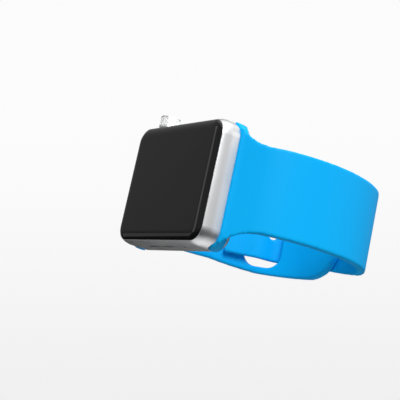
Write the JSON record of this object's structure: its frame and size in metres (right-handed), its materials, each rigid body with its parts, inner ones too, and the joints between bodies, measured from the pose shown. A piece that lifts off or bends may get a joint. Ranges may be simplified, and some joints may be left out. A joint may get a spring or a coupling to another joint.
{
  "type": "smartwatch",
  "caption": "Rounded rectangular smartwatch with a domed sensor back, a turning crown, a side button and an elastomer band closed by a pin and a tucked tail.",
  "frame": {"origin": "middle of the whole watch on the surface it stands on, which the two band ends touch, 0.5 mm below the long side of the case opposite the crown", "axes": "+Z from the case towards the crown, -Y where the display faces, +X towards the 6 o'clock end; the band loops towards +Y"},
  "size_m": [0.0708, 0.0672, 0.0402],
  "materials": {
    "case_metal": "fine bead-blasted, anodised",
    "crown_metal": "turned and knurled",
    "polished_cap": "polished",
    "button_metal": "fine bead-blasted",
    "display_glass": "polished, black-backed",
    "band_elastomer": "smooth matte",
    "pin_metal": "fine satin",
    "steel": "satin",
    "black_plastic": "moulded",
    "seal_rubber": "matte",
    "circuit_board": "satin",
    "panel": "gloss",
    "rear_ceramic": "polished ceramic",
    "lens_glass": "polished, dark-backed",
    "diodes": "clear",
    "coil_copper": "enamelled wire",
    "ferrite": "sintered"
  },
  "bodies": {
    "case": {"acoustic_mesh": "steel", "alignment_magnet": "ferrite", "antenna": "black_plastic", "battery": "black_plastic", "battery_tray": "steel", "board_shield": "steel", "case_screws": "steel", "case_shell": "case_metal", "charging_coil": "coil_copper", "cover_glass": "display_glass", "crown_bracket": "steel", "crown_bushing": "black_plastic", "crown_sensor": "black_plastic", "crown_switch": "black_plastic", "display_flex": "circuit_board", "display_gasket": "seal_rubber", "display_panel": "panel", "display_shield": "steel", "ferrite_disc": "ferrite", "haptic_housing": "steel", "haptic_rods": "steel", "haptic_spring_lower": "steel", "haptic_spring_upper": "steel", "main_board": "circuit_board", "microphone": "black_plastic", "port_cover": "black_plastic", "port_gaskets": "seal_rubber", "rear_cover": "rear_ceramic", "rear_gasket": "seal_rubber", "sensor_board": "circuit_board", "sensor_leds": "diodes", "sensor_lenses": "lens_glass", "sensor_photodiodes": "diodes", "side_button_bracket": "steel", "side_button_switch": "black_plastic", "speaker_module": "black_plastic"},
    "crown_press": {"crown_plunger": "black_plastic"},
    "crown": {"crown_shaft": "crown_metal", "crown_knob": "crown_metal", "crown_cap": "polished_cap", "crown_clip": "crown_metal", "crown_drum": "steel", "crown_seals": "seal_rubber"},
    "side_button": {"side_button_cap": "button_metal"},
    "release_6": {"release_button_6": "button_metal"},
    "release_12": {"release_button_12": "button_metal"},
    "haptic": {"haptic_mass": "steel"},
    "band": {"strap_long": "band_elastomer", "strap_short": "band_elastomer", "lug_core_6": "steel", "lug_core_12": "steel", "lug_latch_6": "steel", "lug_latch_12": "steel", "closure_pin": "pin_metal"}
  },
  "joints": [
    {"name": "crown_press_slide", "type": "slide", "parent": "case", "child": "crown_press", "axis": [0, 0, -1], "range_m": [0, 0.00035], "stiffness_N_per_m": 1500, "springref_m": -0.0001},
    {"name": "crown_turn", "type": "hinge", "parent": "crown_press", "child": "crown", "pos_m": [-0.01293, -0.02827, 0.03845], "axis": [0, 0, 1], "continuous": true},
    {"name": "side_button_slide", "type": "slide", "parent": "case", "child": "side_button", "axis": [0, 0, -1], "range_m": [0, 0.0003], "stiffness_N_per_m": 1500, "springref_m": -0.0001},
    {"name": "release_6_slide", "type": "slide", "parent": "case", "child": "release_6", "axis": [0, -1, 0], "range_m": [0, 0.0006], "stiffness_N_per_m": 800, "springref_m": -0.0001},
    {"name": "release_12_slide", "type": "slide", "parent": "case", "child": "release_12", "axis": [0, -1, 0], "range_m": [0, 0.0006], "stiffness_N_per_m": 800, "springref_m": -0.0001},
    {"name": "haptic_slide", "type": "slide", "parent": "case", "child": "haptic", "axis": [0, 0, 1], "range_m": [-0.0006, 0.0006], "stiffness_N_per_m": 900, "deforming": ["haptic_spring_upper", "haptic_spring_lower"]},
    {"name": "band_slide", "type": "slide", "parent": "case", "child": "band", "axis": [0, 0, 1], "range_m": [0, 0.036]}
  ]
}
